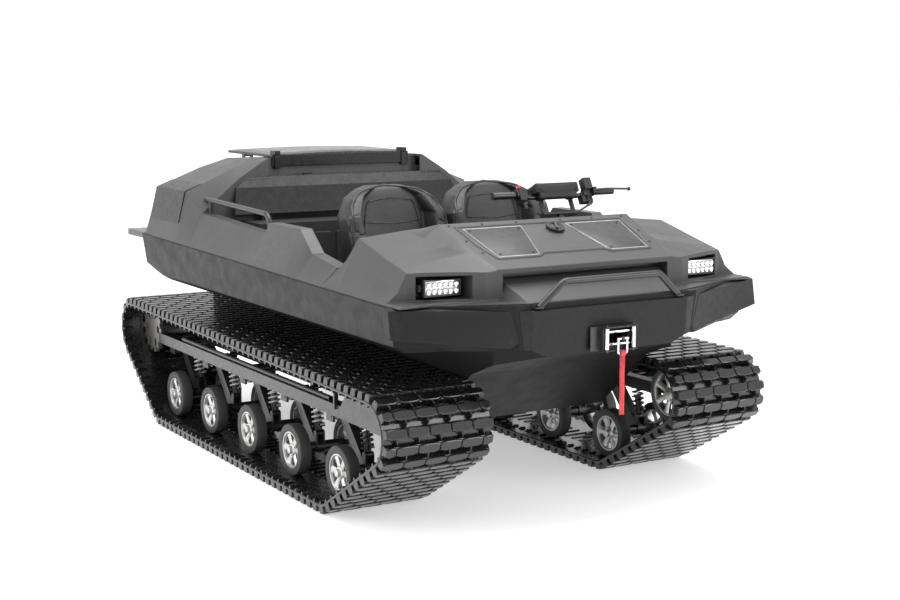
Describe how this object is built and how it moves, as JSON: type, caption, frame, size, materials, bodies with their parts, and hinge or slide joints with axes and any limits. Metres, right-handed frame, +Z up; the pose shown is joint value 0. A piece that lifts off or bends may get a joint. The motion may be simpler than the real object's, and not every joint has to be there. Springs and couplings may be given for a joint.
{
  "type": "tracked amphibious all-terrain vehicle",
  "caption": "Open two-seat amphibious all-terrain vehicle on rubber tracks, with sprung road wheels, handlebar steering, light bars and a front winch.",
  "frame": {"origin": "on the ground under the middle of the vehicle's bounding box", "axes": "+X forward, +Y to the vehicle's left, +Z up; the road wheels turn about Y"},
  "size_m": [3.564, 2.04, 1.514],
  "materials": {
    "deck_plastic": "satin",
    "hull_plastic": "matt",
    "black_coat": "satin powder coat",
    "track_rubber": "moulded",
    "cast_alloy": "cast",
    "plated_steel": "polished",
    "seat_vinyl": "grained",
    "spring_steel": "gloss",
    "red_webbing": "woven",
    "red_plastic": "gloss",
    "lid_plastic": "satin",
    "bar_black": "matt",
    "engine_alloy": "cast",
    "lamp_black": "satin"
  },
  "bodies": {
    "chassis": {"hull_tub": "hull_plastic", "deck_shell": "deck_plastic", "front_bumper": "black_coat", "bull_bar": "black_coat", "winch": "black_coat", "fairlead_frame": "black_coat", "service_covers": "deck_plastic", "steering_column": "black_coat", "seat_left": "seat_vinyl", "seat_right": "seat_vinyl", "rear_locker": "bar_black", "rear_backrest": "bar_black", "side_vents": "lid_plastic", "handrails": "black_coat", "rear_step": "black_coat", "powertrain": "engine_alloy", "track_belt_right": "track_rubber", "track_belt_left": "track_rubber", "track_frame_right": "black_coat", "track_frame_left": "black_coat", "coilovers": "spring_steel"},
    "arm_right_1": {"swing_arm_right_1": "black_coat"},
    "wheel_right_1": {"road_wheel_right_1": "cast_alloy"},
    "arm_right_2": {"swing_arm_right_2": "black_coat"},
    "wheel_right_2": {"road_wheel_right_2": "cast_alloy"},
    "arm_right_3": {"swing_arm_right_3": "black_coat"},
    "wheel_right_3": {"road_wheel_right_3": "cast_alloy"},
    "arm_right_4": {"swing_arm_right_4": "black_coat"},
    "wheel_right_4": {"road_wheel_right_4": "cast_alloy"},
    "arm_right_5": {"swing_arm_right_5": "black_coat"},
    "wheel_right_5": {"road_wheel_right_5": "cast_alloy"},
    "sprocket_right": {"drive_sprocket_right": "cast_alloy"},
    "idler_right": {"idler_right": "cast_alloy"},
    "light_bar_right": {"headlight_right": "lamp_black"},
    "arm_left_1": {"swing_arm_left_1": "black_coat"},
    "wheel_left_1": {"road_wheel_left_1": "cast_alloy"},
    "arm_left_2": {"swing_arm_left_2": "black_coat"},
    "wheel_left_2": {"road_wheel_left_2": "cast_alloy"},
    "arm_left_3": {"swing_arm_left_3": "black_coat"},
    "wheel_left_3": {"road_wheel_left_3": "cast_alloy"},
    "arm_left_4": {"swing_arm_left_4": "black_coat"},
    "wheel_left_4": {"road_wheel_left_4": "cast_alloy"},
    "arm_left_5": {"swing_arm_left_5": "black_coat"},
    "wheel_left_5": {"road_wheel_left_5": "cast_alloy"},
    "sprocket_left": {"drive_sprocket_left": "cast_alloy"},
    "idler_left": {"idler_left": "cast_alloy"},
    "light_bar_left": {"headlight_left": "lamp_black"},
    "roller_left": {"fairlead_roller_left": "plated_steel"},
    "roller_right": {"fairlead_roller_right": "plated_steel"},
    "roller_upper": {"fairlead_roller_upper": "plated_steel"},
    "roller_lower": {"fairlead_roller_lower": "plated_steel"},
    "hook": {"winch_hook": "plated_steel"},
    "strap": {"hook_strap": "red_webbing"},
    "cap": {"fuel_cap": "bar_black"},
    "steering": {"handlebar": "lamp_black", "handlebar_pad": "bar_black"},
    "brake": {"brake_lever": "black_coat"},
    "throttle": {"throttle_lever": "bar_black"},
    "stop_button": {"kill_button": "red_plastic"},
    "lid": {"engine_lid": "lid_plastic"}
  },
  "joints": [
    {"name": "arm_right_1_swing", "type": "hinge", "parent": "chassis", "child": "arm_right_1", "pos_m": [0.72, -0.767, 0.393], "axis": [0, -1, 0], "range_deg": [0, 18], "stiffness_Nm_per_rad": 900, "springref_deg": -6.88, "deforming": ["coilovers"]},
    {"name": "wheel_right_1_spin", "type": "hinge", "parent": "arm_right_1", "child": "wheel_right_1", "pos_m": [0.93, -0.745, 0.17], "axis": [0, 1, 0], "continuous": true},
    {"name": "arm_right_2_swing", "type": "hinge", "parent": "chassis", "child": "arm_right_2", "pos_m": [0.22, -0.767, 0.393], "axis": [0, -1, 0], "range_deg": [0, 18], "stiffness_Nm_per_rad": 900, "springref_deg": -6.88, "deforming": ["coilovers"]},
    {"name": "wheel_right_2_spin", "type": "hinge", "parent": "arm_right_2", "child": "wheel_right_2", "pos_m": [0.43, -0.745, 0.17], "axis": [0, 1, 0], "continuous": true},
    {"name": "arm_right_3_swing", "type": "hinge", "parent": "chassis", "child": "arm_right_3", "pos_m": [-0.28, -0.767, 0.393], "axis": [0, -1, 0], "range_deg": [0, 18], "stiffness_Nm_per_rad": 900, "springref_deg": -6.88, "deforming": ["coilovers"]},
    {"name": "wheel_right_3_spin", "type": "hinge", "parent": "arm_right_3", "child": "wheel_right_3", "pos_m": [-0.07, -0.745, 0.17], "axis": [0, 1, 0], "continuous": true},
    {"name": "arm_right_4_swing", "type": "hinge", "parent": "chassis", "child": "arm_right_4", "pos_m": [-0.78, -0.767, 0.393], "axis": [0, -1, 0], "range_deg": [0, 18], "stiffness_Nm_per_rad": 900, "springref_deg": -6.88, "deforming": ["coilovers"]},
    {"name": "wheel_right_4_spin", "type": "hinge", "parent": "arm_right_4", "child": "wheel_right_4", "pos_m": [-0.57, -0.745, 0.17], "axis": [0, 1, 0], "continuous": true},
    {"name": "arm_right_5_swing", "type": "hinge", "parent": "chassis", "child": "arm_right_5", "pos_m": [-1.28, -0.767, 0.393], "axis": [0, -1, 0], "range_deg": [0, 18], "stiffness_Nm_per_rad": 900, "springref_deg": -6.88, "deforming": ["coilovers"]},
    {"name": "wheel_right_5_spin", "type": "hinge", "parent": "arm_right_5", "child": "wheel_right_5", "pos_m": [-1.07, -0.745, 0.17], "axis": [0, 1, 0], "continuous": true},
    {"name": "sprocket_right_spin", "type": "hinge", "parent": "chassis", "child": "sprocket_right", "pos_m": [-1.485, -0.745, 0.48], "axis": [0, 1, 0], "continuous": true},
    {"name": "idler_right_spin", "type": "hinge", "parent": "chassis", "child": "idler_right", "pos_m": [1.395, -0.745, 0.45], "axis": [0, 1, 0], "continuous": true},
    {"name": "light_bar_right_tilt", "type": "hinge", "parent": "chassis", "child": "light_bar_right", "pos_m": [1.438, -0.69, 1.052], "axis": [0, 1, 0], "range_deg": [-10, 10]},
    {"name": "arm_left_1_swing", "type": "hinge", "parent": "chassis", "child": "arm_left_1", "pos_m": [0.72, 0.767, 0.393], "axis": [0, -1, 0], "range_deg": [0, 18], "stiffness_Nm_per_rad": 900, "springref_deg": -6.88, "deforming": ["coilovers"]},
    {"name": "wheel_left_1_spin", "type": "hinge", "parent": "arm_left_1", "child": "wheel_left_1", "pos_m": [0.93, 0.745, 0.17], "axis": [0, 1, 0], "continuous": true},
    {"name": "arm_left_2_swing", "type": "hinge", "parent": "chassis", "child": "arm_left_2", "pos_m": [0.22, 0.767, 0.393], "axis": [0, -1, 0], "range_deg": [0, 18], "stiffness_Nm_per_rad": 900, "springref_deg": -6.88, "deforming": ["coilovers"]},
    {"name": "wheel_left_2_spin", "type": "hinge", "parent": "arm_left_2", "child": "wheel_left_2", "pos_m": [0.43, 0.745, 0.17], "axis": [0, 1, 0], "continuous": true},
    {"name": "arm_left_3_swing", "type": "hinge", "parent": "chassis", "child": "arm_left_3", "pos_m": [-0.28, 0.767, 0.393], "axis": [0, -1, 0], "range_deg": [0, 18], "stiffness_Nm_per_rad": 900, "springref_deg": -6.88, "deforming": ["coilovers"]},
    {"name": "wheel_left_3_spin", "type": "hinge", "parent": "arm_left_3", "child": "wheel_left_3", "pos_m": [-0.07, 0.745, 0.17], "axis": [0, 1, 0], "continuous": true},
    {"name": "arm_left_4_swing", "type": "hinge", "parent": "chassis", "child": "arm_left_4", "pos_m": [-0.78, 0.767, 0.393], "axis": [0, -1, 0], "range_deg": [0, 18], "stiffness_Nm_per_rad": 900, "springref_deg": -6.88, "deforming": ["coilovers"]},
    {"name": "wheel_left_4_spin", "type": "hinge", "parent": "arm_left_4", "child": "wheel_left_4", "pos_m": [-0.57, 0.745, 0.17], "axis": [0, 1, 0], "continuous": true},
    {"name": "arm_left_5_swing", "type": "hinge", "parent": "chassis", "child": "arm_left_5", "pos_m": [-1.28, 0.767, 0.393], "axis": [0, -1, 0], "range_deg": [0, 18], "stiffness_Nm_per_rad": 900, "springref_deg": -6.88, "deforming": ["coilovers"]},
    {"name": "wheel_left_5_spin", "type": "hinge", "parent": "arm_left_5", "child": "wheel_left_5", "pos_m": [-1.07, 0.745, 0.17], "axis": [0, 1, 0], "continuous": true},
    {"name": "sprocket_left_spin", "type": "hinge", "parent": "chassis", "child": "sprocket_left", "pos_m": [-1.485, 0.745, 0.48], "axis": [0, 1, 0], "continuous": true},
    {"name": "idler_left_spin", "type": "hinge", "parent": "chassis", "child": "idler_left", "pos_m": [1.395, 0.745, 0.45], "axis": [0, 1, 0], "continuous": true},
    {"name": "light_bar_left_tilt", "type": "hinge", "parent": "chassis", "child": "light_bar_left", "pos_m": [1.438, 0.69, 1.052], "axis": [0, 1, 0], "range_deg": [-10, 10]},
    {"name": "roller_left_spin", "type": "hinge", "parent": "chassis", "child": "roller_left", "pos_m": [1.757, 0.085, 0.822], "axis": [0, 0, 1], "continuous": true},
    {"name": "roller_right_spin", "type": "hinge", "parent": "chassis", "child": "roller_right", "pos_m": [1.757, -0.055, 0.822], "axis": [0, 0, 1], "continuous": true},
    {"name": "roller_upper_spin", "type": "hinge", "parent": "chassis", "child": "roller_upper", "pos_m": [1.742, 0.015, 0.849], "axis": [0, 1, 0], "continuous": true},
    {"name": "roller_lower_spin", "type": "hinge", "parent": "chassis", "child": "roller_lower", "pos_m": [1.742, 0.015, 0.795], "axis": [0, 1, 0], "continuous": true},
    {"name": "hook_swing", "type": "hinge", "parent": "chassis", "child": "hook", "pos_m": [1.774, 0.015, 0.822], "axis": [0, -1, 0], "range_deg": [0, 60]},
    {"name": "strap_swing", "type": "hinge", "parent": "hook", "child": "strap", "pos_m": [1.774, 0.015, 0.76], "axis": [0, -1, 0], "range_deg": [-15, 60]},
    {"name": "fuel_cap_turn", "type": "hinge", "parent": "chassis", "child": "cap", "pos_m": [1.228, 0.04, 1.24114], "axis": [0.3604, 0, 0.9328], "range_deg": [0, 120]},
    {"name": "steering_turn", "type": "hinge", "parent": "chassis", "child": "steering", "pos_m": [0.872, 0.285, 1.345], "axis": [-0.4695, 0, 0.8829], "range_deg": [-35, 35]},
    {"name": "brake_lever_pull", "type": "hinge", "parent": "steering", "child": "brake", "pos_m": [0.89898, 0.499, 1.3752], "axis": [-0.4695, 0, 0.8829], "range_deg": [0, 10], "stiffness_Nm_per_rad": 1.2, "springref_deg": -11.46},
    {"name": "throttle_lever_push", "type": "hinge", "parent": "steering", "child": "throttle", "pos_m": [0.8948, 0.098, 1.32768], "axis": [0, -1, 0], "range_deg": [0, 20], "stiffness_Nm_per_rad": 0.1, "springref_deg": -11.46},
    {"name": "stop_button_press", "type": "slide", "parent": "steering", "child": "stop_button", "axis": [0.4695, 0, -0.8829], "range_m": [0, 0.004], "stiffness_N_per_m": 300, "springref_m": -0.002},
    {"name": "engine_lid_lift", "type": "hinge", "parent": "chassis", "child": "lid", "pos_m": [-1.395, 0, 1.464], "axis": [0, -1, 0], "range_deg": [0, 70]}
  ]
}
